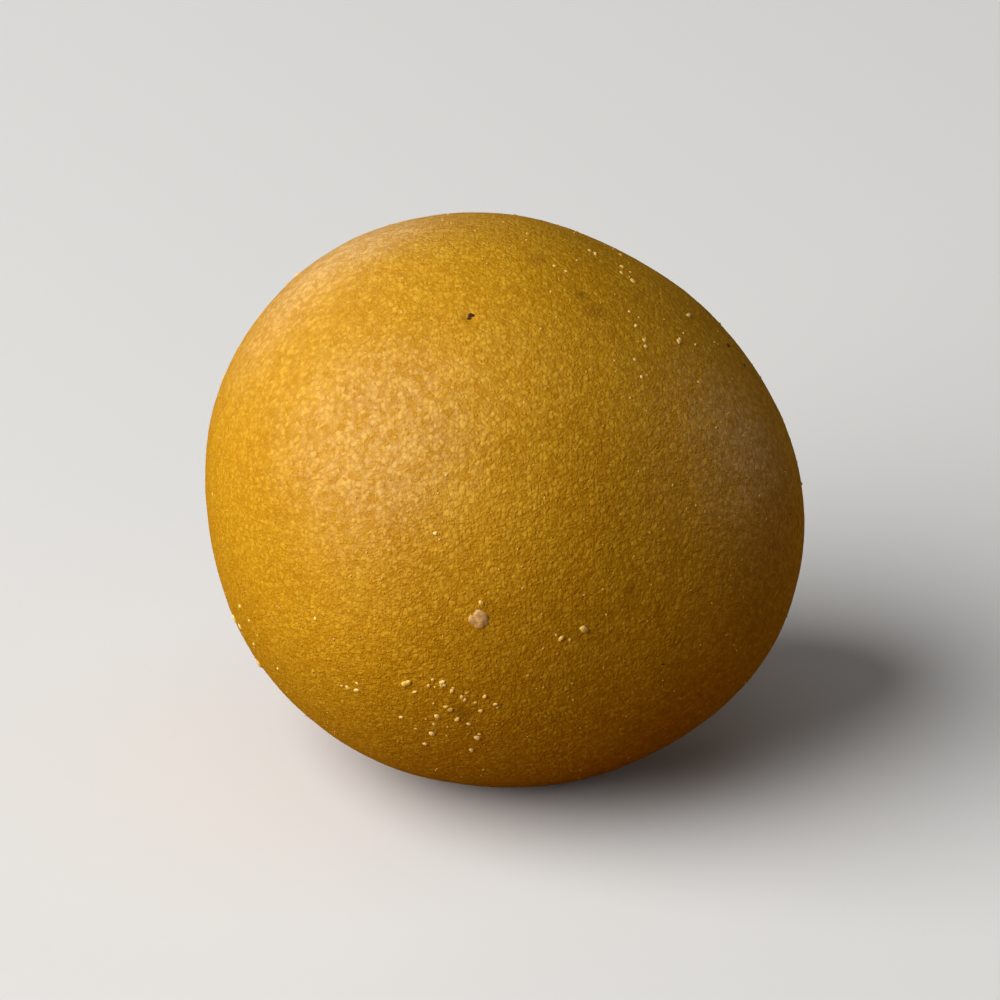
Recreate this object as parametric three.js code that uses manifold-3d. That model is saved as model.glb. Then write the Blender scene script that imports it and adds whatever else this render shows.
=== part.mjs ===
// Bandar ladoo: one ball of kneaded gram flour, rolled between the palms and set down on a table.
// Millimetres, +Z up. The front looks towards -Y, and the origin is the point of the table
// straight under the middle of the ball.

import * as THREE from "three";
import { mergeVertices } from "three/addons/utils/BufferGeometryUtils.js";
import Module from "manifold-3d";

// The ball, and the flat spot that it has settled on
const MEAN_RADIUS = 22;
const MIDDLE_HEIGHT = 20.3;
const REST_EASE = 0.35;
const SKIN_SPLITS = 19;

// Slow swells that the palms left. Each one rises and falls by its rise, so many times on a walk
// all the way round the ball through the ends of its axis. The first four give the leaning oval
// with its flatter shoulder, and the rest keep the skin from being evenly round.
const SWELLS = [
  { lobes: 2, azimuth: 77, elevation: -24, rise: 0.43 },
  { lobes: 2, azimuth: 131, elevation: 53, rise: -0.43 },
  { lobes: 3, azimuth: 87, elevation: -6, rise: 0.34 },
  { lobes: 4, azimuth: 77, elevation: -24, rise: 0.12 },
  { lobes: 5, azimuth: 20, elevation: 35, rise: 0.08 },
  { lobes: 6, azimuth: -75, elevation: 30, rise: 0.07 },
  { lobes: 7, azimuth: 165, elevation: -15, rise: 0.06 },
  { lobes: 9, azimuth: -40, elevation: -50, rise: 0.045 },
];

// Bits that stick to the skin, alone or in loose patches: the middle of each patch, how far the
// bits lie from it at most, how many there are, and the length of the largest
const SUGAR_PATCHES = [
  { azimuth: -4, elevation: 3, reach: 0, count: 1, length: 1.8 },
];
const CRUMB_PATCHES = [
  { azimuth: -18.5, elevation: -12.5, reach: 0, count: 1, length: 0.95 },
  { azimuth: -15, elevation: -27, reach: 0, count: 1, length: 0.85 },
  { azimuth: -5, elevation: -27.5, reach: 0, count: 1, length: 0.8 },
  { azimuth: -13, elevation: -21, reach: 0, count: 1, length: 0.75 },
  { azimuth: 16.5, elevation: -0.5, reach: 0, count: 1, length: 0.8 },
  { azimuth: 12, elevation: -2, reach: 0, count: 1, length: 0.6 },
  { azimuth: -12, elevation: -11.5, reach: 0.5, count: 2, length: 0.6 },
  { azimuth: -31, elevation: -16.5, reach: 0.6, count: 2, length: 0.65 },
  { azimuth: -3.5, elevation: 6.5, reach: 0, count: 1, length: 0.55 },
  { azimuth: -9, elevation: -19, reach: 3, count: 7, length: 0.6 },
  { azimuth: 54, elevation: 51.5, reach: 0.8, count: 2, length: 0.6 },
  { azimuth: 66, elevation: 46, reach: 1.4, count: 2, length: 0.55 },
  { azimuth: 87, elevation: 48, reach: 1, count: 2, length: 0.6 },
  { azimuth: 85, elevation: 70, reach: 3.5, count: 4, length: 0.55 },
  { azimuth: 120, elevation: 12, reach: 5, count: 4, length: 0.9 },
  { azimuth: 150, elevation: 55, reach: 4, count: 3, length: 0.7 },
  { azimuth: 185, elevation: -8, reach: 5, count: 5, length: 0.9 },
  { azimuth: -120, elevation: 28, reach: 6, count: 4, length: 0.9 },
  { azimuth: -75, elevation: -20, reach: 4, count: 3, length: 0.8 },
];
const FLAKE_PATCHES = [
  { azimuth: 152, elevation: 2, reach: 0, count: 1, length: 2.2 },
  { azimuth: 168, elevation: -14, reach: 0, count: 1, length: 1.6 },
  { azimuth: -138, elevation: 40, reach: 0, count: 1, length: 1.9 },
  { azimuth: -104, elevation: 22, reach: 0, count: 1, length: 1.5 },
  { azimuth: 92, elevation: -22, reach: 0, count: 1, length: 1.7 },
];

// Width and thickness over length, and the share of the thickness that each kind is sunk by
const SUGAR_FORM = { width: 0.8, thickness: 0.3, sink: 0.2 };
const CRUMB_FORM = { width: 0.75, thickness: 0.55, sink: 0.12 };
const FLAKE_FORM = { width: 0.34, thickness: 0.2, sink: 0.15 };
const BIT_SMALLEST = 0.7;
const BIT_ROUGHNESS = 0.18;
const PLACE_SEED = 2718;
const FLAKE_SEED = 4669;
const CORNER_SEED = 3141;

const DOUGH_COLOUR = 0xc28a16;
const DOUGH_ROUGHNESS = 0.55;

// Factor and modulus of the seeded run of numbers
const RUN_FACTOR = 16807;
const RUN_MODULUS = 2147483647;

const UP = new THREE.Vector3(0, 0, 1);

// A small repeatable run of numbers between 0 and 1
function numberRun(seed) {
  let state = seed;
  return () => {
    state = (state * RUN_FACTOR) % RUN_MODULUS;
    return state / RUN_MODULUS;
  };
}

// Unit vector from the middle of the ball: azimuth 0 is the front and 90 is +X
function directionTo(azimuth, elevation) {
  const turn = THREE.MathUtils.degToRad(azimuth);
  const lift = THREE.MathUtils.degToRad(elevation);
  const level = Math.cos(lift);
  return new THREE.Vector3(Math.sin(turn) * level, -Math.cos(turn) * level, Math.sin(lift));
}

const swellAxes = SWELLS.map((swell) => directionTo(swell.azimuth, swell.elevation));

// Point of the skin that lies in a direction from the middle of the ball
function skinPoint(direction) {
  let radius = MEAN_RADIUS;
  SWELLS.forEach((swell, index) => {
    radius += swell.rise * Math.cos(swell.lobes * direction.angleTo(swellAxes[index]));
  });
  const point = direction.clone().multiplyScalar(radius);
  point.z = settledHeight(point.z + MIDDLE_HEIGHT);
  return point;
}

// Height above the table once the underside has settled: flat on the table, with a soft edge
function settledHeight(height) {
  const nearness = Math.max(REST_EASE - Math.abs(height), 0) / REST_EASE;
  return Math.max(height, 0) + (nearness * nearness * REST_EASE) / 4;
}

function ballGeometry() {
  const geometry = new THREE.IcosahedronGeometry(1, SKIN_SPLITS);
  const position = geometry.getAttribute("position");
  const direction = new THREE.Vector3();
  for (let i = 0; i < position.count; i += 1) {
    direction.fromBufferAttribute(position, i).normalize();
    position.setXYZ(i, ...skinPoint(direction));
  }
  return geometry;
}

// A lump with twelve uneven corners, lying on the skin
function bitGeometry({ outward, length, spin }, form, drawCorner) {
  const geometry = withoutSeams(new THREE.IcosahedronGeometry(0.5, 0));
  const position = geometry.getAttribute("position");
  const corner = new THREE.Vector3();
  for (let i = 0; i < position.count; i += 1) {
    corner.fromBufferAttribute(position, i);
    corner.multiplyScalar(1 + BIT_ROUGHNESS * (2 * drawCorner() - 1));
    position.setXYZ(i, ...corner);
  }
  const thickness = length * form.thickness;
  geometry.scale(length, length * form.width, thickness);
  geometry.rotateZ(spin);
  geometry.applyQuaternion(new THREE.Quaternion().setFromUnitVectors(UP, outward));
  const middle = skinPoint(outward).addScaledVector(outward, -form.sink * thickness);
  geometry.translate(...middle);
  return geometry;
}

// Where the bits of one patch lie, spread over its disc, with their lengths and turns
function patchPlaces(patch, draw) {
  const middle = directionTo(patch.azimuth, patch.elevation);
  const aside = new THREE.Vector3().crossVectors(UP, middle).normalize();
  const upwards = new THREE.Vector3().crossVectors(middle, aside);
  return Array.from({ length: patch.count }, () => {
    const reach = (patch.reach / MEAN_RADIUS) * Math.sqrt(draw());
    const turn = 2 * Math.PI * draw();
    const length = patch.length * THREE.MathUtils.lerp(BIT_SMALLEST, 1, draw());
    const outward = middle.clone();
    outward.addScaledVector(aside, reach * Math.cos(turn));
    outward.addScaledVector(upwards, reach * Math.sin(turn));
    outward.normalize();
    return { outward, length, spin: Math.PI * draw() };
  });
}

// All bits of one kind
function bitsOn(patches, form, drawPlace, drawCorner) {
  const places = patches.flatMap((patch) => patchPlaces(patch, drawPlace));
  return places.map((place) => bitGeometry(place, form, drawCorner));
}

// Only positions, with the corners that triangles share made one
function withoutSeams(geometry) {
  geometry.deleteAttribute("normal");
  geometry.deleteAttribute("uv");
  return mergeVertices(geometry);
}

const wasm = await Module();
wasm.setup();

function solidFrom(geometry) {
  const merged = withoutSeams(geometry);
  const mesh = new wasm.Mesh({
    numProp: 3,
    vertProperties: new Float32Array(merged.getAttribute("position").array),
    triVerts: new Uint32Array(merged.getIndex().array),
  });
  return new wasm.Manifold(mesh);
}

function geometryFrom(solid) {
  const mesh = solid.getMesh();
  const geometry = new THREE.BufferGeometry();
  geometry.setAttribute("position", new THREE.BufferAttribute(mesh.vertProperties, 3));
  geometry.setIndex(new THREE.BufferAttribute(mesh.triVerts, 1));
  geometry.computeVertexNormals();
  return geometry;
}

function ladooMesh() {
  const drawPlace = numberRun(PLACE_SEED);
  const drawCorner = numberRun(CORNER_SEED);
  const bits = [
    ...bitsOn(SUGAR_PATCHES, SUGAR_FORM, drawPlace, drawCorner),
    ...bitsOn(CRUMB_PATCHES, CRUMB_FORM, drawPlace, drawCorner),
    ...bitsOn(FLAKE_PATCHES, FLAKE_FORM, numberRun(FLAKE_SEED), drawCorner),
  ];
  const ball = solidFrom(ballGeometry());
  const solid = bits.reduce((whole, bit) => whole.add(solidFrom(bit)), ball);
  const dough = new THREE.MeshStandardMaterial({
    color: DOUGH_COLOUR,
    roughness: DOUGH_ROUGHNESS,
    metalness: 0,
  });
  const mesh = new THREE.Mesh(geometryFrom(solid), dough);
  mesh.name = "ladoo";
  return mesh;
}

const ladoo = new THREE.Group();
ladoo.add(ladooMesh());

export default ladoo;
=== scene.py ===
"""Bandar ladoo: the looks of one hand-rolled ball of kneaded gram flour.

Laid out as a Blender add-on and run as a script. Metres, +Z up, the front towards -Y.
"""

import math

import bpy
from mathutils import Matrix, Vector


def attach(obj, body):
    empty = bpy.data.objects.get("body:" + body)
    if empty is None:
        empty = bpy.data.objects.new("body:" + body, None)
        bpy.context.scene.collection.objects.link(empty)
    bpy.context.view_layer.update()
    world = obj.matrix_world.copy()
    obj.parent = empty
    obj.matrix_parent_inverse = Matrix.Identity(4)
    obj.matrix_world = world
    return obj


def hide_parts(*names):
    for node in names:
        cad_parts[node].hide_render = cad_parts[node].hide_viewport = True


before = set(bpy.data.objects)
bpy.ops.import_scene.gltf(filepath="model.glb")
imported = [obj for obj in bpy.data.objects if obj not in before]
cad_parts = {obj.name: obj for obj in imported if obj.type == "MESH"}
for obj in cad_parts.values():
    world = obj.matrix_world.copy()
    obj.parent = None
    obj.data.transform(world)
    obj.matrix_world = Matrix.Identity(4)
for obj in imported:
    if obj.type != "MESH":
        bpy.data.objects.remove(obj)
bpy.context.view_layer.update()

bl_info = {
    "name": "Bandar ladoo",
    "version": (1, 0, 0),
    "blender": (4, 5, 0),
    "location": "3D View > Sidebar > Ladoo",
    "description": "Rolls one bandar ladoo with its crumbs, and sets a plain stage for it",
    "category": "Add Mesh",
}

MM = 0.001
BODY = "root"
SOLID = "ladoo"
BALL_PIECE = "dough_ball"

# Slow swells that the palms left: lobes round the ball, azimuth and elevation of the axis in
# degrees, and the rise in millimetres
SWELLS = (
    (2, 77, -24, 0.43),
    (2, 131, 53, -0.43),
    (3, 87, -6, 0.34),
    (4, 77, -24, 0.12),
    (5, 20, 35, 0.08),
    (6, -75, 30, 0.07),
    (7, 165, -15, 0.06),
    (9, -40, -50, 0.045),
)

# Small hollows in the skin: azimuth and elevation in degrees, width and depth in millimetres
HOLLOWS = (
    (-13, 63.5, 1.5, 0.22),
    (49, 67, 2.6, 0.1),
    (-7, -20, 3.4, 0.08),
    (118, 30, 2.2, 0.12),
    (166, 42, 1.6, 0.16),
    (-158, 8, 2.8, 0.1),
    (-104, -6, 1.8, 0.14),
)

# Stains where the flour was roasted browner: azimuth and elevation in degrees, width in
# millimetres, and how dark they are
STAINS = (
    (49, 67, 1.7, 1.0),
    (47, 63, 3.4, 0.4),
    (46, 80, 2.6, 0.45),
    (-7, -20, 3.4, 0.45),
    (26, 6, 1.6, 0.5),
    (142, 24, 2.6, 0.5),
    (138, 21, 1.5, 0.9),
    (-96, 12, 1.8, 0.5),
    (-165, 48, 2.4, 0.5),
)

# Bits that stick to the skin, alone or in loose patches: azimuth and elevation of the middle in
# degrees, reach in millimetres, how many, and the length of the largest in millimetres
SUGAR_PATCHES = (
    (-4, 3, 0, 1, 1.8),
)
CRUMB_PATCHES = (
    (-18.5, -12.5, 0, 1, 0.95),
    (-15, -27, 0, 1, 0.85),
    (-5, -27.5, 0, 1, 0.8),
    (-13, -21, 0, 1, 0.75),
    (16.5, -0.5, 0, 1, 0.8),
    (12, -2, 0, 1, 0.6),
    (-12, -11.5, 0.5, 2, 0.6),
    (-31, -16.5, 0.6, 2, 0.65),
    (-3.5, 6.5, 0, 1, 0.55),
    (-9, -19, 3, 7, 0.6),
    (54, 51.5, 0.8, 2, 0.6),
    (66, 46, 1.4, 2, 0.55),
    (87, 48, 1, 2, 0.6),
    (85, 70, 3.5, 4, 0.55),
    (120, 12, 5, 4, 0.9),
    (150, 55, 4, 3, 0.7),
    (185, -8, 5, 5, 0.9),
    (-120, 28, 6, 4, 0.9),
    (-75, -20, 4, 3, 0.8),
)
FINE_CRUMB_PATCHES = (
    (-17, -14.5, 0, 1, 0.5),
    (-14, -12.5, 0, 1, 0.5),
    (-9.5, -13.5, 0, 1, 0.55),
    (-6.5, -14, 0, 1, 0.45),
    (-5, -16.5, 0, 1, 0.45),
    (-3, -15, 0, 1, 0.5),
    (-1, -17, 0, 1, 0.45),
    (-4, -19, 0, 1, 0.45),
    (-11, -18, 0, 1, 0.5),
    (-21, -22.5, 0, 1, 0.5),
    (-17.5, -31.5, 0, 1, 0.55),
    (-6.5, -32.5, 0, 1, 0.5),
    (-13, 19.6, 0, 1, 0.5),
    (-37.5, -2.3, 0, 1, 0.45),
    (-9, -20, 4.5, 8, 0.38),
    (14, -1.5, 1.2, 2, 0.4),
    (-31, -16, 1.2, 2, 0.4),
    (60, 50, 5, 7, 0.42),
    (100, 72, 5, 8, 0.42),
    (70, -30, 6, 6, 0.42),
    (120, 12, 7, 10, 0.45),
    (185, -8, 7, 12, 0.45),
    (-120, 28, 8, 12, 0.45),
    (-70, -25, 6, 6, 0.42),
)
FLAKE_PATCHES = (
    (152, 2, 0, 1, 2.2),
    (168, -14, 0, 1, 1.6),
    (-138, 40, 0, 1, 1.9),
    (-104, 22, 0, 1, 1.5),
    (92, -22, 0, 1, 1.7),
)
SPECK_PATCHES = (
    (-13, 64, 0, 1, 1.15),
    (34, -12, 0, 1, 0.3),
    (105, 38, 6, 2, 0.55),
    (170, 20, 9, 3, 0.6),
    (-110, -8, 7, 2, 0.5),
)
SMALLEST_SHARE = 0.7
PLACE_SEED = 2718
FINE_SEED = 1618
FLAKE_SEED = 4669
SPECK_SEED = 1202
TONE_SEED = 577
DUST_SEED = 11

# Factor and modulus of the seeded run of numbers
RUN_FACTOR = 16807
RUN_MODULUS = 2147483647

# Grain of the flour: how steeply a granule falls away from its top, how far it is pulled out of
# round, the sizes of chips, crumble and drifts over a granule's size, and the lowest heights of
# granules and chips and the highest of chips over the highest granule's
GRANULE_FALL = 1.3
GRANULE_WARP = 0.6
CHIP_SIZE = 0.55
CRUMBLE_SIZE = 0.5
DRIFT_SIZE = 1.4
LOWEST_GRANULE = 0.2
LOWEST_CHIP = 0.1
HIGHEST_CHIP = 0.85

# Shares of the crumble in the grain's height, and of each granule's own number in its tone
CRUMBLE_SHARE = 0.3
OWN_SHARE = 0.35

# Ranges that the grain's height and tone and a noise mostly keep to
HEIGHT_RANGE = (0.3, 0.75)
TONE_RANGE = (0.3, 0.7)

# Ranges of a noise over which a stain breaks up, and over which dust thickens into drifts
BREAK_RANGE = (0.35, 0.6)
DRIFT_RANGE = (0.35, 0.65)

# Tone halfway between dark and pale, how far the low parts of a bit's grain are darkened as painted shade,
# and how far the grain swings the roughness of bits and dough
MIDDLE_TONE = 0.5
BIT_SHADE_SWING = 0.2
BIT_ROUGHNESS_SWING = 0.1
DOUGH_ROUGHNESS_SWING = 0.06

# Height of a bit's grain over its breadth
BIT_GRAIN_HEIGHT = 0.1

# Shares of a fleck and of a pit inside the soft rim
FLECK_CORE = 0.6
PIT_CORE = 0.0

# How far red, green and blue light reach under the skin, over the depth of the glow
GLOW_REACH = (1.0, 0.4, 0.1)

# Power that makes most grains of dust small
DUST_SMALLNESS = 2.5

# Distance between nodes on a bench
NODE_SPACING = 200

# Colour sockets of a Mix node, which has a set for each kind of data
MIX_FIRST = 6
MIX_SECOND = 7
MIX_RESULT = 2


# Small sums

def direction_to(azimuth, elevation):
    """Unit vector from the middle of the ball: azimuth 0 is the front and 90 is +X."""
    turn = math.radians(azimuth)
    lift = math.radians(elevation)
    level = math.cos(lift)
    return Vector((math.sin(turn) * level, -math.cos(turn) * level, math.sin(lift)))


def number_run(seed):
    """A small repeatable run of numbers between 0 and 1."""
    state = seed
    while True:
        state = state * RUN_FACTOR % RUN_MODULUS
        yield state / RUN_MODULUS


def patch_places(patch, draw, mean_radius):
    """Where the bits of one patch lie: outward direction, length in metres and turn."""
    azimuth, elevation, reach, count, length = patch
    middle = direction_to(azimuth, elevation)
    aside = Vector((0, 0, 1)).cross(middle).normalized()
    upwards = middle.cross(aside)
    places = []
    for _ in range(count):
        away = reach * MM / mean_radius * math.sqrt(next(draw))
        turn = 2 * math.pi * next(draw)
        share = SMALLEST_SHARE + (1 - SMALLEST_SHARE) * next(draw)
        spin = math.pi * next(draw)
        outward = middle + aside * (away * math.cos(turn)) + upwards * (away * math.sin(turn))
        places.append((outward.normalized(), length * MM * share, spin))
    return places


def all_places(patches, seed, mean_radius):
    draw = number_run(seed)
    return [place for patch in patches for place in patch_places(patch, draw, mean_radius)]


# Node benches

class Bench:
    """A node tree on which nodes are placed and joined."""

    def __init__(self, tree):
        self.tree = tree

    def place(self, kind, feeds=None, **settings):
        """Places a node, sets it up and feeds its inputs, given by name or number."""
        node = self.tree.nodes.new(kind)
        node.location = (NODE_SPACING * len(self.tree.nodes), 0)
        for name, value in settings.items():
            setattr(node, name, value)
        self.feed_all(node, feeds or {})
        return node

    def feed_all(self, node, feeds):
        for key, value in feeds.items():
            self.feed(node.inputs[key], value)

    def feed(self, socket, value):
        if isinstance(value, bpy.types.NodeSocket):
            self.tree.links.new(value, socket)
        else:
            socket.default_value = value

    def math(self, operation, *values):
        node = self.place("ShaderNodeMath", dict(enumerate(values)), operation=operation)
        return node.outputs[0]

    def times(self, first, second):
        return self.math("MULTIPLY", first, second)

    def vector(self, operation, *values):
        node = self.place("ShaderNodeVectorMath", dict(enumerate(values)), operation=operation)
        return node.outputs["Value" if operation == "DOT_PRODUCT" else "Vector"]

    def scaled(self, vector, factor):
        feeds = {"Vector": vector, "Scale": factor}
        return self.place("ShaderNodeVectorMath", feeds, operation="SCALE").outputs["Vector"]

    def joined(self, x, y, z):
        return self.place("ShaderNodeCombineXYZ", {"X": x, "Y": y, "Z": z}).outputs[0]

    def remapped(self, value, low, high, to_low=0.0, to_high=1.0, smooth=False):
        """Value carried from one range to another, and held at its ends."""
        steps = "SMOOTHSTEP" if smooth else "LINEAR"
        feeds = {"Value": value, "From Min": low, "From Max": high, "To Min": to_low, "To Max": to_high}
        node = self.place("ShaderNodeMapRange", feeds, interpolation_type=steps, clamp=True)
        return node.outputs["Result"]

    def swung(self, value, span, swing):
        """Value carried from its span to one that reaches as far below nothing as above it."""
        return self.remapped(value, *span, -swing, swing)

    def blended(self, share, first, second):
        """Two numbers mixed by a plain share."""
        return self.math("MULTIPLY_ADD", second, share, self.times(first, 1.0 - share))

    def mixed(self, share, first, second):
        """Two colours mixed."""
        feeds = {0: share, MIX_FIRST: first, MIX_SECOND: second}
        return self.place("ShaderNodeMix", feeds, data_type="RGBA").outputs[MIX_RESULT]

    def noise(self, vector, size, detail=2.0, roughness=0.5):
        """Noise whose lumps are about as broad as the given size."""
        feeds = {
            "Vector": vector,
            "Scale": self.math("DIVIDE", 1.0, size),
            "Detail": detail,
            "Roughness": roughness,
        }
        return self.place("ShaderNodeTexNoise", feeds).outputs[0]

    def cells(self, vector, size):
        """Uneven cells about as broad as the given size."""
        feeds = {"Vector": vector, "Scale": self.math("DIVIDE", 1.0, size)}
        return self.place("ShaderNodeTexVoronoi", feeds).outputs

    def first_channel(self, colour):
        shading = self.tree.bl_idname == "ShaderNodeTree"
        kind = "ShaderNodeSeparateColor" if shading else "FunctionNodeSeparateColor"
        return self.place(kind, {0: colour}).outputs[0]


def opaque(colour):
    return (*colour, 1.0)


def sockets(kind, *labels):
    """Sockets of one kind for a new tree."""
    return dict.fromkeys(labels, f"NodeSocket{kind}")


def new_tree(name, kind, inputs, outputs):
    """A new node group with named sockets: its bench, its input sockets and its output sockets."""
    tree = bpy.data.node_groups.new(name, kind)
    for label, socket in inputs.items():
        tree.interface.new_socket(label, in_out="INPUT", socket_type=socket)
    for label, socket in outputs.items():
        tree.interface.new_socket(label, in_out="OUTPUT", socket_type=socket)
    bench = Bench(tree)
    given = bench.place("NodeGroupInput").outputs
    made = bench.place("NodeGroupOutput").inputs
    return bench, given, made


# Shader groups and materials

def granule_domes(bench, place, size, lowest, highest):
    """Rounded granules, each of its own height, and a number from 0 to 1 of each granule's own."""
    cells = bench.cells(place, size)
    own = bench.first_channel(cells["Color"])
    away = bench.math("MINIMUM", bench.times(cells["Distance"], GRANULE_FALL), 1.0)
    dome = bench.math("SUBTRACT", 1.0, bench.math("POWER", away, 2.0))
    return bench.times(dome, bench.remapped(own, 0.0, 1.0, lowest, highest)), own


def flour_grain_group():
    """Uneven granules of flour pressed together: their height from 0 to 1, and an uneven tone."""
    inputs = {**sockets("Vector", "Vector"), **sockets("Float", "Size")}
    outputs = sockets("Float", "Tone", "Height")
    bench, given, made = new_tree("Flour grain", "ShaderNodeTree", inputs, outputs)
    place = given["Vector"]
    size = given["Size"]
    chip_size = bench.times(size, CHIP_SIZE)
    crumble_size = bench.times(size, CRUMBLE_SIZE)
    drift_size = bench.times(size, DRIFT_SIZE)

    feeds = {"Vector": place, "Scale": bench.math("DIVIDE", 1.0, size), "Detail": 0.0}
    wobble = bench.place("ShaderNodeTexNoise", feeds).outputs["Color"]
    aside = bench.vector("SUBTRACT", wobble, (0.5, 0.5, 0.5))
    pulled = bench.vector("ADD", place, bench.scaled(aside, bench.times(size, GRANULE_WARP)))
    granules, own = granule_domes(bench, pulled, size, LOWEST_GRANULE, 1.0)
    chips, _ = granule_domes(bench, pulled, chip_size, LOWEST_CHIP, HIGHEST_CHIP)
    domes = bench.math("MAXIMUM", granules, chips)
    crumble = bench.remapped(bench.noise(place, crumble_size, roughness=0.65), *TONE_RANGE)
    bench.feed(made["Height"], bench.blended(CRUMBLE_SHARE, domes, crumble))

    drift = bench.noise(place, drift_size, detail=1.0, roughness=0.6)
    bench.feed(made["Tone"], bench.blended(OWN_SHARE, drift, own))
    return bench.tree


def scattered_spots(bench, place, spacing, width, share, core):
    """Round spots in some of the cells that a surface is divided into, easing out past their core."""
    cells = bench.cells(place, spacing)
    reach = bench.times(cells["Distance"], spacing)
    away = bench.math("DIVIDE", reach, bench.times(width, 0.5))
    spots = bench.remapped(away, core, 1.0, 1.0, 0.0, smooth=True)
    chosen = bench.math("LESS_THAN", bench.first_channel(cells["Color"]), share)
    return bench.times(spots, chosen)


def scattered_flecks_group():
    """Small round flecks strewn over a surface."""
    inputs = {**sockets("Vector", "Vector"), **sockets("Float", "Spacing", "Width", "Share")}
    outputs = sockets("Float", "Mask")
    bench, given, made = new_tree("Scattered flecks", "ShaderNodeTree", inputs, outputs)
    place, spacing, width, share = (given[label] for label in inputs)
    bench.feed(made["Mask"], scattered_spots(bench, place, spacing, width, share, FLECK_CORE))
    return bench.tree


def shared_group(name, maker):
    return bpy.data.node_groups.get(name) or maker()


def new_material(name):
    """A new material, with its bench and its shader."""
    material = bpy.data.materials.new(name)
    material.use_nodes = True
    return material, Bench(material.node_tree), material.node_tree.nodes["Principled BSDF"]


def own_place(bench):
    return bench.place("ShaderNodeTexCoord").outputs["Object"]


def own_factor(bench, name):
    return bench.place("ShaderNodeAttribute", attribute_name=name).outputs["Fac"]


def grain_on(bench, place, size):
    group = shared_group("Flour grain", flour_grain_group)
    return bench.place("ShaderNodeGroup", {"Vector": place, "Size": size}, node_tree=group).outputs


def flecks_on(bench, place, spacing, width, share):
    group = shared_group("Scattered flecks", scattered_flecks_group)
    feeds = {"Vector": place, "Spacing": spacing, "Width": width, "Share": share}
    return bench.place("ShaderNodeGroup", feeds, node_tree=group).outputs["Mask"]


def bumped(bench, distance, height):
    return bench.place("ShaderNodeBump", {"Distance": distance, "Height": height}).outputs["Normal"]


def dough_material(finish):
    """Kneaded gram flour with a film of ghee: mottled, stippled and faintly glossy, with painted shade in
    the gaps between granules and pale flecks that are partly painted glints.
    """
    material, bench, shader = new_material("kneaded_dough")
    place = own_place(bench)
    fine = grain_on(bench, place, finish.fine_size)
    coarse = bench.noise(place, finish.coarse_size)
    cloud = bench.noise(place, finish.cloud_size)

    # The low gaps between granules come out darker: painted shade, mixed with each granule's own real tone
    gap_shade = bench.swung(fine["Height"], HEIGHT_RANGE, MIDDLE_TONE)
    own_tone = bench.swung(fine["Tone"], TONE_RANGE, MIDDLE_TONE)
    coarse_tone = bench.swung(coarse, TONE_RANGE, MIDDLE_TONE)
    cloud_tone = bench.swung(cloud, TONE_RANGE, MIDDLE_TONE)
    fine_tone_and_shade = bench.blended(finish.own_tone, gap_shade, own_tone)
    tone = bench.math("MULTIPLY_ADD", fine_tone_and_shade, finish.fine_tone_and_shade_contrast, MIDDLE_TONE)
    tone = bench.math("MULTIPLY_ADD", coarse_tone, finish.coarse_contrast, tone)
    tone = bench.math("MULTIPLY_ADD", cloud_tone, finish.cloud_contrast, tone)
    colour = bench.mixed(tone, opaque(finish.dark), opaque(finish.pale))

    # The pale flecks are partly real flour and partly painted glints of sugar
    flour = flecks_on(bench, place, finish.flour_spacing, finish.flour_width, finish.flour_share)
    husk = flecks_on(bench, place, finish.husk_spacing, finish.husk_width, finish.husk_share)
    colour = bench.mixed(bench.times(flour, finish.fleck_cover), colour, opaque(finish.flour))
    colour = bench.mixed(bench.times(husk, finish.fleck_cover), colour, opaque(finish.husk))
    colour = bench.mixed(own_factor(bench, "stain"), colour, opaque(finish.husk))

    roughest = finish.roughness + DOUGH_ROUGHNESS_SWING
    smoothest = finish.roughness - DOUGH_ROUGHNESS_SWING
    driest = finish.driest * finish.film
    coarse_share = finish.coarse_height / finish.fine_height
    height = bench.math("MULTIPLY_ADD", coarse, coarse_share, fine["Height"])
    bench.feed_all(shader, {
        "Base Color": colour,
        "Roughness": bench.remapped(coarse, *TONE_RANGE, roughest, smoothest),
        "Normal": bumped(bench, finish.fine_height, height),
        "Specular IOR Level": finish.gloss,
        "Coat Weight": bench.remapped(fine["Tone"], *TONE_RANGE, driest, finish.film),
        "Coat Roughness": finish.film_roughness,
        "Subsurface Weight": finish.glow,
        "Subsurface Radius": GLOW_REACH,
        "Subsurface Scale": finish.glow_depth,
    })
    return material


def bit_material(name, kind):
    """Dry bits: each of its own tone, with a grain of flour."""
    material, bench, shader = new_material(name)
    grain = grain_on(bench, own_place(bench), kind.grain_size)
    # Low parts of a bit's grain are darker: painted shade over its own tone
    grain_shade_tone = bench.swung(grain["Height"], HEIGHT_RANGE, BIT_SHADE_SWING)
    tone = bench.math("ADD", own_factor(bench, "tone"), grain_shade_tone)
    smoothest = kind.roughness - BIT_ROUGHNESS_SWING
    roughest = kind.roughness + BIT_ROUGHNESS_SWING
    bench.feed_all(shader, {
        "Base Color": bench.mixed(tone, opaque(kind.dark), opaque(kind.pale)),
        "Roughness": bench.remapped(grain["Tone"], *TONE_RANGE, smoothest, roughest),
        "Normal": bumped(bench, kind.grain_size * BIT_GRAIN_HEIGHT, grain["Height"]),
        "Specular IOR Level": kind.gloss,
    })
    return material


# Geometry trees

def point_position(bench):
    return bench.place("GeometryNodeInputPosition").outputs[0]


def own_value(bench, name, kind="FLOAT"):
    return bench.place("GeometryNodeInputNamedAttribute", {"Name": name}, data_type=kind).outputs[0]


def reshaped(bench, kind, geometry, feeds, **settings):
    """Geometry as the given kind of node leaves it."""
    return bench.place(kind, {"Geometry": geometry, **feeds}, **settings).outputs["Geometry"]


def moved(bench, geometry, **feeds):
    """Geometry set to a Position, or shifted by an Offset."""
    return reshaped(bench, "GeometryNodeSetPosition", geometry, feeds)


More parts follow.
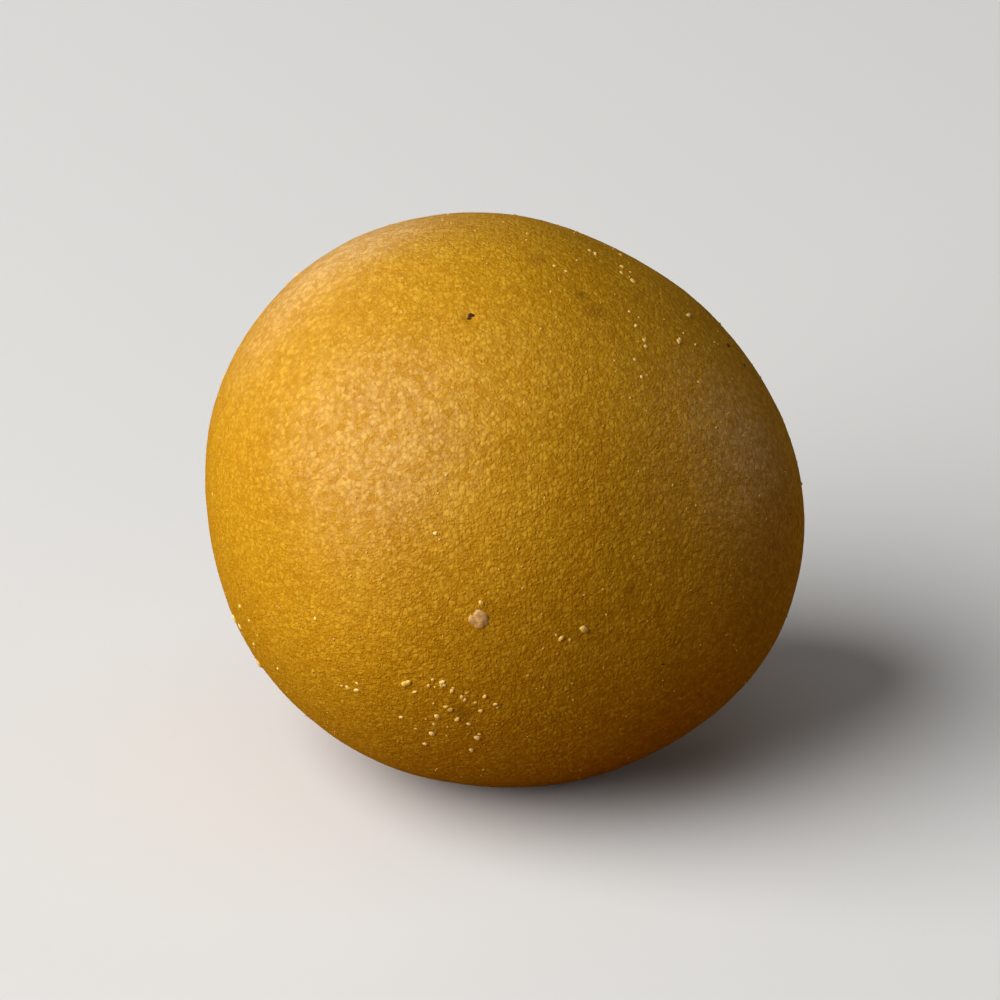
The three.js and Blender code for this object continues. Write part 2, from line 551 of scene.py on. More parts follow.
def labelled(bench, geometry, name, value, kind="FLOAT"):
    """Geometry whose points hold a value under a name."""
    feeds = {"Name": name, "Value": value}
    settings = {"data_type": kind, "domain": "POINT"}
    return reshaped(bench, "GeometryNodeStoreNamedAttribute", geometry, feeds, **settings)


def realized(bench, geometry):
    return reshaped(bench, "GeometryNodeRealizeInstances", geometry, {})


def finish_pieces(bench, geometry, smooth, material, socket):
    """Ends a geometry tree: real mesh, its shading and its material."""
    whole = realized(bench, geometry)
    shaded = reshaped(bench, "GeometryNodeSetShadeSmooth", whole, {"Shade Smooth": smooth})
    bench.feed(socket, reshaped(bench, "GeometryNodeSetMaterial", shaded, {"Material": material}))


def angle_from(bench, outward, azimuth, elevation):
    facing = bench.vector("DOT_PRODUCT", outward, direction_to(azimuth, elevation))
    return bench.math("ARCCOSINE", facing)


def spot_on(bench, outward, radius, azimuth, elevation, width):
    """One in the middle of a round spot on the skin, easing to nothing at its rim."""
    away = bench.times(angle_from(bench, outward, azimuth, elevation), radius)
    return bench.remapped(away, 0.0, width * MM / 2, 1.0, 0.0, smooth=True)


def rolled_ball_tree():
    """A ball swollen by the palms, with lumps, grain and hollows in its skin, set on a flat spot."""
    inputs = {
        **sockets("Int", "Skin Steps"),
        **sockets("Float", "Mean Radius", "Middle Height", "Rest Ease"),
        **sockets("Float", "Lump Size", "Lump Height", "Grain Size", "Grain Height"),
        **sockets("Float", "Pit Spacing", "Pit Width", "Pit Depth", "Pit Share"),
        **sockets("Float", "Stain Break", "Stain Thinnest"),
        **sockets("Material", "Dough"),
    }
    outputs = sockets("Geometry", "Ball")
    bench, given, made = new_tree("Rolled ball", "GeometryNodeTree", inputs, outputs)
    mean_radius = given["Mean Radius"]

    corners = bench.math("ADD", given["Skin Steps"], 1)
    feeds = {"Size": (2, 2, 2), "Vertices X": corners, "Vertices Y": corners, "Vertices Z": corners}
    cube = bench.place("GeometryNodeMeshCube", feeds).outputs["Mesh"]
    outward = point_position(bench)
    evened = bench.vector("TANGENT", bench.scaled(outward, math.pi / 4))
    sphere = moved(bench, cube, Position=bench.vector("NORMALIZE", evened))

    skin = bench.scaled(outward, mean_radius)
    stain = 0.0
    for azimuth, elevation, width, darkness in STAINS:
        spot = spot_on(bench, outward, mean_radius, azimuth, elevation, width)
        stain = bench.math("MAXIMUM", stain, bench.times(spot, darkness))
    breaks = bench.noise(skin, given["Stain Break"])
    broken = bench.remapped(breaks, *BREAK_RANGE, given["Stain Thinnest"], 1.0)
    stained = labelled(bench, sphere, "stain", bench.times(stain, broken))

    radius = mean_radius
    for lobes, azimuth, elevation, rise in SWELLS:
        angle = angle_from(bench, outward, azimuth, elevation)
        wave = bench.math("COSINE", bench.times(angle, lobes))
        radius = bench.math("MULTIPLY_ADD", wave, rise * MM, radius)
    for azimuth, elevation, width, depth in HOLLOWS:
        hollow = spot_on(bench, outward, mean_radius, azimuth, elevation, width)
        radius = bench.math("MULTIPLY_ADD", hollow, -depth * MM, radius)
    for size, height in (("Lump Size", "Lump Height"), ("Grain Size", "Grain Height")):
        rough = bench.math("SUBTRACT", bench.noise(skin, given[size], detail=1.0), 0.5)
        radius = bench.math("MULTIPLY_ADD", rough, given[height], radius)

    spacing, width, share = given["Pit Spacing"], given["Pit Width"], given["Pit Share"]
    pits = scattered_spots(bench, skin, spacing, width, share, PIT_CORE)
    radius = bench.math("SUBTRACT", radius, bench.times(pits, given["Pit Depth"]))

    # Near the table the skin eases into the flat spot
    point = bench.place("ShaderNodeSeparateXYZ", {0: bench.scaled(outward, radius)}).outputs
    height = bench.math("ADD", point["Z"], given["Middle Height"])
    gap = bench.math("SUBTRACT", given["Rest Ease"], bench.math("ABSOLUTE", height))
    nearness = bench.math("DIVIDE", bench.math("MAXIMUM", gap, 0.0), given["Rest Ease"])
    ease = bench.times(bench.math("POWER", nearness, 2.0), given["Rest Ease"])
    settled = bench.math("MULTIPLY_ADD", ease, 0.25, bench.math("MAXIMUM", height, 0.0))
    ball = moved(bench, stained, Position=bench.joined(point["X"], point["Y"], settled))
    finish_pieces(bench, ball, True, given["Dough"], made["Ball"])
    return bench.tree


def stuck_bits_tree():
    """Lumps that stick to the ball's skin, one at each given direction from its middle."""
    inputs = {
        **sockets("Geometry", "Places"),
        **sockets("Object", "Ball"),
        **sockets("Int", "Splits"),
        **sockets("Float", "Middle Height", "Width", "Thickness", "Sink"),
        **sockets("Float", "Unevenness", "Chip Size"),
        **sockets("Material", "Finish"),
    }
    outputs = sockets("Geometry", "Bits")
    bench, given, made = new_tree("Stuck bits", "GeometryNodeTree", inputs, outputs)
    ball = bench.place("GeometryNodeObjectInfo", {"Object": given["Ball"]}).outputs["Geometry"]
    feeds = {
        "Target Geometry": ball,
        "Source Position": bench.joined(0.0, 0.0, given["Middle Height"]),
        "Ray Direction": point_position(bench),
    }
    hit = bench.place("GeometryNodeRaycast", feeds).outputs
    length = own_value(bench, "length")
    thickness = bench.times(length, given["Thickness"])
    sunk = bench.scaled(hit["Hit Normal"], bench.times(thickness, given["Sink"]))
    place = bench.vector("SUBTRACT", hit["Hit Position"], sunk)

    upright = bench.place("FunctionNodeAlignRotationToVector", {"Vector": hit["Hit Normal"]}, axis="Z")
    feeds = {"Axis": (0, 0, 1), "Angle": own_value(bench, "spin")}
    about = bench.place("FunctionNodeAxisAngleToRotation", feeds)
    feeds = {"Rotation": upright.outputs[0], "Rotate By": about.outputs[0]}
    turned = bench.place("FunctionNodeRotateRotation", feeds, rotation_space="LOCAL")
    feeds = {"Radius": 0.5, "Subdivisions": given["Splits"]}
    lump = bench.place("GeometryNodeMeshIcoSphere", feeds).outputs["Mesh"]
    feeds = {
        "Points": labelled(bench, given["Places"], "place", place, "FLOAT_VECTOR"),
        "Instance": lump,
        "Rotation": turned.outputs[0],
        "Scale": bench.joined(length, bench.times(length, given["Width"]), thickness),
    }
    lumps = bench.place("GeometryNodeInstanceOnPoints", feeds).outputs["Instances"]
    placed = moved(bench, lumps, Position=own_value(bench, "place", "FLOAT_VECTOR"))

    normal = bench.place("GeometryNodeInputNormal").outputs[0]
    rough = bench.math("SUBTRACT", bench.noise(point_position(bench), given["Chip Size"]), 0.5)
    rise = bench.times(bench.times(rough, given["Unevenness"]), length)
    chipped = moved(bench, realized(bench, placed), Offset=bench.scaled(normal, rise))
    finish_pieces(bench, chipped, True, given["Finish"], made["Bits"])
    return bench.tree


def drawn(bench, seed, nth):
    """A number between 0 and 1 for each point, from the nth run after the seed."""
    feeds = {"Seed": bench.math("ADD", seed, nth)}
    return bench.place("FunctionNodeRandomValue", feeds, data_type="FLOAT").outputs[1]


def dusting_tree():
    """Fine grains strewn over the whole skin, clear of the flat spot."""
    inputs = {
        **sockets("Object", "Ball"),
        **sockets("Float", "Per Square Metre", "Thinnest", "Drift Size", "Clearance"),
        **sockets("Float", "Smallest", "Largest", "Width", "Thickness", "Sink"),
        **sockets("Int", "Seed"),
        **sockets("Material", "Finish"),
    }
    outputs = sockets("Geometry", "Grains")
    bench, given, made = new_tree("Dusting", "GeometryNodeTree", inputs, outputs)
    ball = bench.place("GeometryNodeObjectInfo", {"Object": given["Ball"]}).outputs["Geometry"]
    position = point_position(bench)
    drift = bench.noise(position, given["Drift Size"])
    thickly = bench.remapped(drift, *DRIFT_RANGE, given["Thinnest"], 1.0)
    height = bench.place("ShaderNodeSeparateXYZ", {0: position}).outputs["Z"]
    feeds = {
        "Mesh": ball,
        "Selection": bench.math("GREATER_THAN", height, given["Clearance"]),
        "Density": bench.times(thickly, given["Per Square Metre"]),
        "Seed": given["Seed"],
    }
    strewn = bench.place("GeometryNodeDistributePointsOnFaces", feeds).outputs

    share = bench.math("POWER", drawn(bench, given["Seed"], 0), DUST_SMALLNESS)
    length = bench.remapped(share, 0.0, 1.0, given["Smallest"], given["Largest"])
    depth = bench.times(length, given["Sink"])
    inwards = bench.scaled(strewn["Normal"], bench.times(depth, -1.0))
    sunk = moved(bench, strewn["Points"], Offset=inwards)
    turns = [bench.times(drawn(bench, given["Seed"], nth), math.tau) for nth in (2, 3, 4)]
    lump = bench.place("GeometryNodeMeshIcoSphere", {"Radius": 0.5, "Subdivisions": 1}).outputs["Mesh"]
    width = bench.times(length, given["Width"])
    thickness = bench.times(length, given["Thickness"])
    feeds = {
        "Points": labelled(bench, sunk, "tone", drawn(bench, given["Seed"], 1)),
        "Instance": lump,
        "Rotation": bench.joined(*turns),
        "Scale": bench.joined(length, width, thickness),
    }
    grains = bench.place("GeometryNodeInstanceOnPoints", feeds).outputs["Instances"]
    finish_pieces(bench, grains, False, given["Finish"], made["Grains"])
    return bench.tree


def input_sockets(tree):
    return [item for item in tree.interface.items_tree if item.in_out == "INPUT"]


def matching(tree, settings):
    """The settings that are named like an input of the tree, by the input's name."""
    names = {socket.name: socket.name.lower().replace(" ", "_") for socket in input_sockets(tree)}
    return {label: getattr(settings, name) for label, name in names.items() if hasattr(settings, name)}


def made_by_nodes(name, tree, values, mesh=None):
    """A plain mesh piece made by a geometry tree, whose inputs are set by their identifiers."""
    piece = bpy.data.objects.new(name, mesh or bpy.data.meshes.new(name))
    bpy.context.scene.collection.objects.link(piece)
    modifier = piece.modifiers.new(tree.name, "NODES")
    modifier.node_group = tree
    identifiers = {socket.name: socket.identifier for socket in input_sockets(tree)}
    for label, value in values.items():
        modifier[identifiers[label]] = value
    piece.update_tag()
    graph = bpy.context.evaluated_depsgraph_get()
    plain = bpy.data.meshes.new_from_object(piece.evaluated_get(graph), depsgraph=graph)
    if not plain.polygons:
        raise RuntimeError(f"{name} came out with no faces")
    finish = next(material for material in plain.materials if material)
    plain.materials.clear()
    plain.materials.append(finish)
    piece.modifiers.clear()
    starter = piece.data
    piece.data = plain
    plain.name = name
    bpy.data.meshes.remove(starter)
    return piece


def places_mesh(name, places):
    """One point for each bit: its direction, and its length, turn and tone as attributes."""
    mesh = bpy.data.meshes.new(name)
    mesh.from_pydata([tuple(outward) for outward, _, _ in places], [], [])
    draw_tone = number_run(TONE_SEED)
    columns = {
        "length": [length for _, length, _ in places],
        "spin": [spin for _, _, spin in places],
        "tone": [next(draw_tone) for _ in places],
    }
    for label, values in columns.items():
        mesh.attributes.new(label, "FLOAT", "POINT").data.foreach_set("value", values)
    return mesh


def carried(piece):
    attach(piece, BODY)
    return piece


def stuck(name, places, kind, middle_height):
    """Bits of one kind, stuck to the ball."""
    tree = shared_group("Stuck bits", stuck_bits_tree)
    values = {
        **matching(tree, kind),
        "Ball": bpy.data.objects[BALL_PIECE],
        "Middle Height": middle_height,
        "Finish": bit_material(name, kind),
    }
    return carried(made_by_nodes(name, tree, values, places_mesh(name, places)))


# Settings

def length_setting(name, description, default):
    return bpy.props.FloatProperty(
        name=name, description=description, default=default, min=0.0, precision=6,
        subtype="DISTANCE", unit="LENGTH",
    )


def colour_setting(name, description, default):
    return bpy.props.FloatVectorProperty(
        name=name, description=description, default=default, size=3, min=0.0, max=1.0, subtype="COLOR",
    )


def share_setting(name, description, default):
    return bpy.props.FloatProperty(
        name=name, description=description, default=default, min=0.0, max=1.0, subtype="FACTOR",
    )


def power_setting(name, description, default):
    return bpy.props.FloatProperty(
        name=name, description=description, default=default, min=0.0, unit="POWER",
    )


def angle_setting(name, description, degrees):
    return bpy.props.FloatProperty(
        name=name, description=description, default=math.radians(degrees), subtype="ANGLE", unit="ROTATION",
    )


def count_setting(name, description, default, most):
    return bpy.props.IntProperty(name=name, description=description, default=default, min=1, max=most)


# What the settings mean that several kinds of pieces share
SHARED_WORDS = {
    "Roughness": "Roughness of the surface",
    "Gloss": "How much light the surface mirrors",
    "Width": "Width over length",
    "Thickness": "Thickness over length",
    "Sink": "Share of the thickness that is sunk",
    "Unevenness": "Depth of the chips over length",
}


def common_share(name, default):
    return share_setting(name, SHARED_WORDS[name], default)


class RolledBallSettings(bpy.types.PropertyGroup):
    """Form and skin of the rolled ball"""

    skin_steps: count_setting(
        "Skin Steps", "Faces along each edge of the cube that the ball grows from", 126, 127,
    )
    mean_radius: length_setting("Mean Radius", "Half of the ball's mean diameter", 22 * MM)
    middle_height: length_setting("Middle Height", "Height of the ball's middle above the table", 20.3 * MM)
    rest_ease: length_setting("Rest Ease", "Height over which the flat spot runs out", 0.35 * MM)
    lump_size: length_setting("Lump Size", "Breadth of the lumps that kneading left", 4.5 * MM)
    lump_height: length_setting("Lump Height", "Height of the lumps", 0.12 * MM)
    grain_size: length_setting("Grain Size", "Breadth of the coarse grain", 0.95 * MM)
    grain_height: length_setting("Grain Height", "Height of the coarse grain", 0.045 * MM)
    pit_spacing: length_setting("Pit Spacing", "Distance between places for pits", 2.8 * MM)
    pit_width: length_setting("Pit Width", "Width of the pits", 0.9 * MM)
    pit_depth: length_setting("Pit Depth", "Depth of the pits", 0.06 * MM)
    pit_share: share_setting("Pit Share", "Share of the places that hold a pit", 0.3)
    stain_break: length_setting("Stain Break", "Breadth of the breaks in a stain", 0.9 * MM)
    stain_thinnest: share_setting("Stain Thinnest", "How dark a stain still is in a break", 0.35)


class DoughSettings(bpy.types.PropertyGroup):
    """Finish of the kneaded dough"""

    # Pale tops and dark gaps: partly the dough's own tone, partly painted shade between the granules
    pale: colour_setting("Pale Dough", "Colour of the granules' tops", (0.711, 0.372, 0.0132))
    dark: colour_setting("Dark Dough", "Colour between the granules", (0.466, 0.202, 0.0015))
    # The pale flecks stand partly for flour and partly for painted glints
    flour: colour_setting("Flour Fleck", "Colour of the fine pale flecks", (0.78, 0.46, 0.08))
    flour_spacing: length_setting("Flour Spacing", "Distance between places for pale flecks", 0.8 * MM)
    flour_width: length_setting("Flour Width", "Width of the pale flecks", 0.24 * MM)
    flour_share: share_setting("Flour Share", "Share of the places that hold a pale fleck", 0.5)
    husk: colour_setting("Husk Fleck", "Colour of the fine brown flecks", (0.22, 0.08, 0.006))
    husk_spacing: length_setting("Husk Spacing", "Distance between places for brown flecks", 2.3 * MM)
    husk_width: length_setting("Husk Width", "Width of the brown flecks", 0.35 * MM)
    husk_share: share_setting("Husk Share", "Share of the places that hold a brown fleck", 0.3)
    fleck_cover: share_setting("Fleck Cover", "How much of the dough's colour a fleck hides", 0.5)
    fine_size: length_setting("Fine Size", "Breadth of the granules", 0.38 * MM)
    fine_height: length_setting("Fine Height", "Height of the granules", 0.1 * MM)
    # Paler tops over darker gaps is partly painted shade
    fine_tone_and_shade_contrast: share_setting("Fine Contrast", "How much paler their tops are than the gaps", 0.85)
    own_tone: share_setting("Own Tone", "Share of that which is each granule's own tone", 0.3)
    coarse_size: length_setting("Coarse Size", "Breadth of the clumps of granules", 1.2 * MM)
    coarse_height: length_setting("Coarse Height", "Height of the clumps", 0.03 * MM)
    coarse_contrast: share_setting("Coarse Contrast", "How much their tones differ", 0.2)
    cloud_size: length_setting("Cloud Size", "Breadth of the faint clouds of colour", 9 * MM)
    cloud_contrast: share_setting("Cloud Contrast", "How much the clouds differ", 0.2)
    roughness: common_share("Roughness", 0.5)
    gloss: common_share("Gloss", 0.1)
    film: share_setting("Film", "How much ghee lies on the wettest granules", 0.58)
    driest: share_setting("Driest", "How much of that lies on the driest granules", 0.1)
    film_roughness: share_setting("Film Roughness", "Roughness of the film of ghee", 0.38)
    glow: share_setting("Glow", "Share of light that passes under the skin", 0.08)
    glow_depth: length_setting("Glow Depth", "How deep that light reaches", 0.8 * MM)


class SugarSettings(bpy.types.PropertyGroup):
    """The lump of sugar on the front"""

    pale: colour_setting("Pale Sugar", "Colour of the palest sugar", (0.84, 0.54, 0.22))
    dark: colour_setting("Dark Sugar", "Colour of sugar that took up ghee", (0.67, 0.37, 0.13))
    roughness: common_share("Roughness", 0.5)
    gloss: common_share("Gloss", 0.4)
    grain_size: length_setting("Grain Size", "Breadth of its granules", 0.3 * MM)
    splits: count_setting("Splits", "How finely a lump is divided", 3, 5)
    width: common_share("Width", 0.8)
    thickness: common_share("Thickness", 0.3)
    sink: common_share("Sink", 0.2)
    unevenness: common_share("Unevenness", 0.5)
    chip_size: length_setting("Chip Size", "Breadth of the chips", 0.5 * MM)


class CrumbSettings(bpy.types.PropertyGroup):
    """Crumbs of flour and sugar"""

    pale: colour_setting("Pale Crumb", "Colour of the palest crumbs", (0.95, 0.68, 0.24))
    dark: colour_setting("Dark Crumb", "Colour of the most golden crumbs", (0.82, 0.5, 0.08))
    roughness: common_share("Roughness", 0.4)
    gloss: common_share("Gloss", 0.35)
    grain_size: length_setting("Grain Size", "Breadth of their granules", 0.2 * MM)
    splits: count_setting("Splits", "How finely a crumb is divided", 2, 5)
    width: common_share("Width", 0.75)
    thickness: common_share("Thickness", 0.55)
    sink: common_share("Sink", 0.12)
    unevenness: common_share("Unevenness", 0.7)
    chip_size: length_setting("Chip Size", "Breadth of the chips", 0.4 * MM)


class FlakeSettings(bpy.types.PropertyGroup):
    """Long cream flakes on the sides and the back"""

    pale: colour_setting("Pale Flake", "Colour of the palest flakes", (0.85, 0.7, 0.4))
    dark: colour_setting("Dark Flake", "Colour of the most golden flakes", (0.75, 0.52, 0.2))
    roughness: common_share("Roughness", 0.5)
    gloss: common_share("Gloss", 0.4)
    grain_size: length_setting("Grain Size", "Breadth of their granules", 0.25 * MM)
    splits: count_setting("Splits", "How finely a flake is divided", 3, 5)
    width: common_share("Width", 0.34)
    thickness: common_share("Thickness", 0.2)
    sink: common_share("Sink", 0.15)
    unevenness: common_share("Unevenness", 0.25)
    chip_size: length_setting("Chip Size", "Breadth of the chips", 0.5 * MM)


class SpeckSettings(bpy.types.PropertyGroup):
    """Dark specks of cardamom"""

    pale: colour_setting("Pale Cardamom", "Colour of the palest cardamom", (0.14, 0.05, 0.006))
    dark: colour_setting("Dark Cardamom", "Colour of the darkest cardamom", (0.07, 0.022, 0.003))
    roughness: common_share("Roughness", 0.5)
    gloss: common_share("Gloss", 0.06)
    grain_size: length_setting("Grain Size", "Breadth of their grain", 0.15 * MM)
    splits: count_setting("Splits", "How finely a speck is divided", 2, 5)
    width: common_share("Width", 0.7)
    thickness: common_share("Thickness", 0.5)
    sink: common_share("Sink", 0.2)
    unevenness: common_share("Unevenness", 0.6)
    chip_size: length_setting("Chip Size", "Breadth of the chips", 0.3 * MM)


class DustSettings(bpy.types.PropertyGroup):
    """Fine grains of sugar and flour"""

    pale: colour_setting("Pale Dust", "Colour of the palest grains", (0.8, 0.5, 0.12))
    dark: colour_setting("Dark Dust", "Colour of the most golden grains", (0.62, 0.3, 0.02))
    roughness: common_share("Roughness", 0.35)
    gloss: common_share("Gloss", 0.5)
    grain_size: length_setting("Grain Size", "Breadth of the marks on a grain", 0.1 * MM)
    smallest: length_setting("Smallest", "Length of the smallest grain", 0.12 * MM)
    largest: length_setting("Largest", "Length of the largest grain", 0.34 * MM)
    width: common_share("Width", 0.8)
    thickness: common_share("Thickness", 0.65)
    sink: share_setting("Sink", "Share of the length that is sunk", 0.12)
    drift_size: length_setting("Drift Size", "Breadth of the drifts that they lie in", 9 * MM)
    thinnest: share_setting("Thinnest", "How thickly they lie between the drifts", 0.25)
    clearance: length_setting("Clearance", "Height of the bare skin above the table", 1.2 * MM)
    per_square_metre: bpy.props.FloatProperty(
        name="Per Square Metre", description="Grains on a square metre of the drifts",
        default=4.0e5, min=0.0,
    )


class StageSettings(bpy.types.PropertyGroup):
    """Floor, light and camera"""

    floor: colour_setting("Floor", "Colour of the floor", (0.78, 0.77, 0.75))
    floor_bounce: colour_setting(
        "Floor Bounce", "Colour of the light that it throws back", (0.207, 0.095, 0.004),
    )
    floor_roughness: share_setting("Floor Roughness", "Roughness of the floor", 0.7)
    floor_width: length_setting("Floor Width", "Width of the floor", 8.0)
    light_distance: length_setting("Light Distance", "From the lights to the ball", 0.9)
    key_power: power_setting("Key Power", "Power of the soft light at the left", 16.3)
    key_width: length_setting("Key Width", "Width of the soft light at the left", 1.21)
    key_azimuth: angle_setting("Key Azimuth", "Where that light stands, from the front", -65)
    key_elevation: angle_setting("Key Elevation", "How high it stands", 35)
    fill_power: power_setting("Fill Power", "Power of the weak light at the right", 1.25)
    fill_width: length_setting("Fill Width", "Width of the weak light at the right", 0.8)
    fill_azimuth: angle_setting("Fill Azimuth", "Where that light stands, from the front", 107)
    fill_elevation: angle_setting("Fill Elevation", "How high it stands", 6)
    top_power: power_setting("Top Power", "Power of the weak light overhead", 0.7)
    top_width: length_setting("Top Width", "Width of the weak light overhead", 0.8)
    top_azimuth: angle_setting("Top Azimuth", "Where that light stands, from the front", 43)
    top_elevation: angle_setting("Top Elevation", "How high it stands", 85)
    back_power: power_setting("Back Power", "Power of the weak light behind", 1.9)
    back_width: length_setting("Back Width", "Width of the weak light behind", 0.6)
    back_azimuth: angle_setting("Back Azimuth", "Where that light stands, from the front", -155)
    back_elevation: angle_setting("Back Elevation", "How high it stands", 5)
    backdrop: colour_setting("Backdrop", "Colour of what is seen past the floor", (0.78, 0.77, 0.75))
    sky_share: share_setting("Sky Share", "Share of it that falls on the ball as light", 0.01)
    aim_height: length_setting("Aim Height", "Height that the camera and lights look at", 20.5 * MM)
    camera_distance: length_setting("Camera Distance", "From the camera to the ball's middle", 0.75)
    camera_elevation: angle_setting("Camera Elevation", "Angle of the camera above the horizon", 26)
    focal_length: bpy.props.FloatProperty(
        name="Focal Length", description="Focal length of the camera",
        default=360.0, min=1.0, unit="CAMERA",
    )


# Operators

class LADOO_OT_roll_ball(bpy.types.Operator):
    """Rolls the ball of dough and settles it on its flat spot"""

    bl_idname = "ladoo.roll_ball"
    bl_label = "Roll Ball"

    def execute(self, context):
        tree = rolled_ball_tree()
        values = matching(tree, context.scene.ladoo_ball)
        values["Dough"] = dough_material(context.scene.ladoo_dough)
        piece = carried(made_by_nodes(BALL_PIECE, tree, values))
        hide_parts(SOLID)
        return {"FINISHED"}


class LADOO_OT_stick_sugar(bpy.types.Operator):
    """Sticks the lump of sugar to the front"""

    bl_idname = "ladoo.stick_sugar"
    bl_label = "Stick Sugar"

    def execute(self, context):
        ball = context.scene.ladoo_ball
        places = all_places(SUGAR_PATCHES, PLACE_SEED, ball.mean_radius)
        stuck("sugar_lump", places, context.scene.ladoo_sugar, ball.middle_height)
        return {"FINISHED"}


class LADOO_OT_stick_crumbs(bpy.types.Operator):
    """Sticks the crumbs to the skin, the larger ones after the lump of sugar in one run of draws"""

    bl_idname = "ladoo.stick_crumbs"
    bl_label = "Stick Crumbs"

    def execute(self, context):
        ball = context.scene.ladoo_ball
        sugar = all_places(SUGAR_PATCHES, PLACE_SEED, ball.mean_radius)
        large = all_places(SUGAR_PATCHES + CRUMB_PATCHES, PLACE_SEED, ball.mean_radius)[len(sugar):]
        fine = all_places(FINE_CRUMB_PATCHES, FINE_SEED, ball.mean_radius)
        stuck("flour_crumbs", large + fine, context.scene.ladoo_crumbs, ball.middle_height)
        return {"FINISHED"}


class LADOO_OT_stick_flakes(bpy.types.Operator):
    """Sticks a few long cream flakes to the sides and the back"""

    bl_idname = "ladoo.stick_flakes"
    bl_label = "Stick Flakes"

    def execute(self, context):
        ball = context.scene.ladoo_ball
        places = all_places(FLAKE_PATCHES, FLAKE_SEED, ball.mean_radius)
        stuck("cream_flakes", places, context.scene.ladoo_flakes, ball.middle_height)
        return {"FINISHED"}


class LADOO_OT_stick_specks(bpy.types.Operator):
    """Sticks dark specks of cardamom to the skin"""

    bl_idname = "ladoo.stick_specks"
    bl_label = "Stick Specks"

    def execute(self, context):
        ball = context.scene.ladoo_ball
        places = all_places(SPECK_PATCHES, SPECK_SEED, ball.mean_radius)
        stuck("cardamom_specks", places, context.scene.ladoo_specks, ball.middle_height)
        return {"FINISHED"}


class LADOO_OT_dust_sugar(bpy.types.Operator):
    """Dusts the skin with fine grains of sugar and flour"""

    bl_idname = "ladoo.dust_sugar"
    bl_label = "Dust Sugar"

    def execute(self, context):
        dust = context.scene.ladoo_dust
        tree = dusting_tree()
        values = {
            **matching(tree, dust),
            "Ball": bpy.data.objects[BALL_PIECE],
            "Seed": DUST_SEED,
            "Finish": bit_material("sugar_grains", dust),
        }
        carried(made_by_nodes("sugar_grains", tree, values))
        return {"FINISHED"}


class LADOO_OT_set_stage(bpy.types.Operator):
    """Sets the floor, the lights and the camera"""

    bl_idname = "ladoo.set_stage"
    bl_label = "Set Stage"

    def execute(self, context):
        stage = context.scene.ladoo_stage
        make_floor(stage)
        make_lights(stage)
        make_sky(stage)
        make_camera(stage)
        context.scene.view_settings.view_transform = "Standard"
        return {"FINISHED"}


def make_floor(stage):
    half = stage.floor_width / 2
    mesh = bpy.data.meshes.new("floor")
    corners = [(-half, -half, 0), (half, -half, 0), (half, half, 0), (-half, half, 0)]
    mesh.from_pydata(corners, [], [(0, 1, 2, 3)])
    floor = bpy.data.objects.new("floor", mesh)
    bpy.context.scene.collection.objects.link(floor)
    material, bench, shader = new_material("floor")
    seen = bench.place("ShaderNodeLightPath").outputs["Is Camera Ray"]
    bench.feed_all(shader, {
        "Base Color": bench.mixed(seen, opaque(stage.floor_bounce), opaque(stage.floor)),
        "Roughness": stage.floor_roughness,
        "Specular IOR Level": 0.0,
    })
    mesh.materials.append(material)


def aim_point(stage):
    return Vector((0, 0, stage.aim_height))


def towards(azimuth, elevation):
    """Unit vector to where a light or the camera stands, from angles in radians."""
    return direction_to(math.degrees(azimuth), math.degrees(elevation))


def stand(name, data, away, distance, stage):
    """Stands a light or the camera off the ball and points it there."""
    thing = bpy.data.objects.new(name, data)
    thing.location = aim_point(stage) + away * distance
    thing.rotation_euler = (-away).to_track_quat("-Z", "Y").to_euler()
    bpy.context.scene.collection.objects.link(thing)
    return thing


def soft_light(name, width, power):
    light = bpy.data.lights.new(name, "AREA")
    light.shape = "DISK"
    light.size = width
    light.energy = power
    return light


def make_lights(stage):
    for name in ("key", "fill", "top", "back"):
        width, power, azimuth, elevation = (
            getattr(stage, f"{name}_{label}") for label in ("width", "power", "azimuth", "elevation")
        )
        light = soft_light(name, width, power)
        stand(name, light, towards(azimuth, elevation), stage.light_distance, stage)


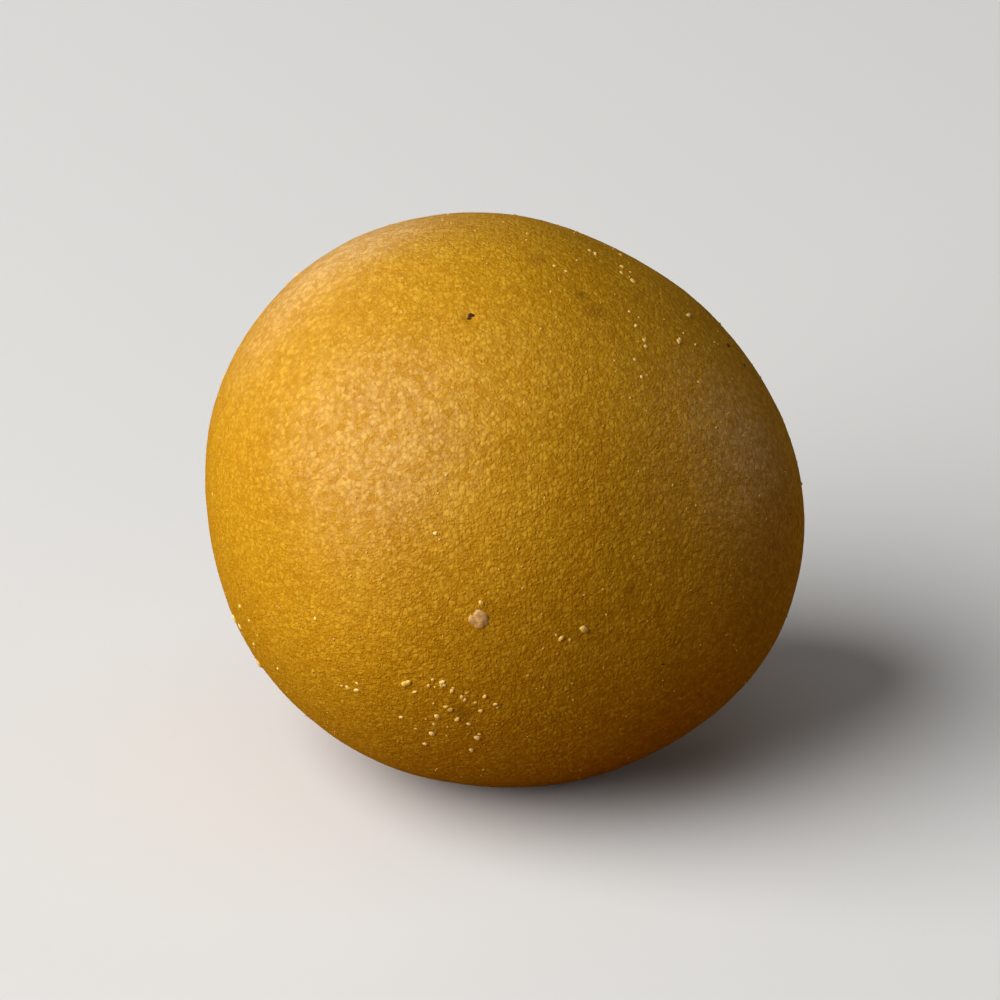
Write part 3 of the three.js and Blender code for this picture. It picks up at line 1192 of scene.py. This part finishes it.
def make_sky(stage):
    world = bpy.data.worlds.new("studio")
    world.use_nodes = True
    background = world.node_tree.nodes["Background"]
    background.inputs["Color"].default_value = opaque(stage.backdrop)
    bench = Bench(world.node_tree)
    seen = bench.place("ShaderNodeLightPath").outputs["Is Camera Ray"]
    bench.feed(background.inputs["Strength"], bench.math("MAXIMUM", seen, stage.sky_share))
    bpy.context.scene.world = world


def make_camera(stage):
    lens = bpy.data.cameras.new("camera")
    lens.lens = stage.focal_length
    camera = stand("camera", lens, towards(0, stage.camera_elevation), stage.camera_distance, stage)
    bpy.context.scene.camera = camera


class LADOO_PT_panel(bpy.types.Panel):
    """Lists the steps of making the ladoo"""

    bl_label = "Bandar Ladoo"
    bl_space_type = "VIEW_3D"
    bl_region_type = "UI"
    bl_category = "Ladoo"

    def draw(self, context):
        for operator in OPERATORS:
            self.layout.operator(operator.bl_idname)


OPERATORS = (
    LADOO_OT_roll_ball,
    LADOO_OT_stick_sugar,
    LADOO_OT_stick_crumbs,
    LADOO_OT_stick_flakes,
    LADOO_OT_stick_specks,
    LADOO_OT_dust_sugar,
    LADOO_OT_set_stage,
)
SETTINGS = {
    "ladoo_ball": RolledBallSettings,
    "ladoo_dough": DoughSettings,
    "ladoo_sugar": SugarSettings,
    "ladoo_crumbs": CrumbSettings,
    "ladoo_flakes": FlakeSettings,
    "ladoo_specks": SpeckSettings,
    "ladoo_dust": DustSettings,
    "ladoo_stage": StageSettings,
}
CLASSES = (*SETTINGS.values(), *OPERATORS, LADOO_PT_panel)


def register():
    for item in CLASSES:
        bpy.utils.register_class(item)
    for name, group in SETTINGS.items():
        setattr(bpy.types.Scene, name, bpy.props.PointerProperty(type=group))


def unregister():
    for name in SETTINGS:
        delattr(bpy.types.Scene, name)
    for item in reversed(CLASSES):
        bpy.utils.unregister_class(item)


def main():
    register()
    bpy.ops.ladoo.roll_ball()
    bpy.ops.ladoo.stick_sugar()
    bpy.ops.ladoo.stick_crumbs()
    bpy.ops.ladoo.stick_flakes()
    bpy.ops.ladoo.stick_specks()
    bpy.ops.ladoo.dust_sugar()
    bpy.ops.ladoo.set_stage()


if __name__ == "__main__":
    main()
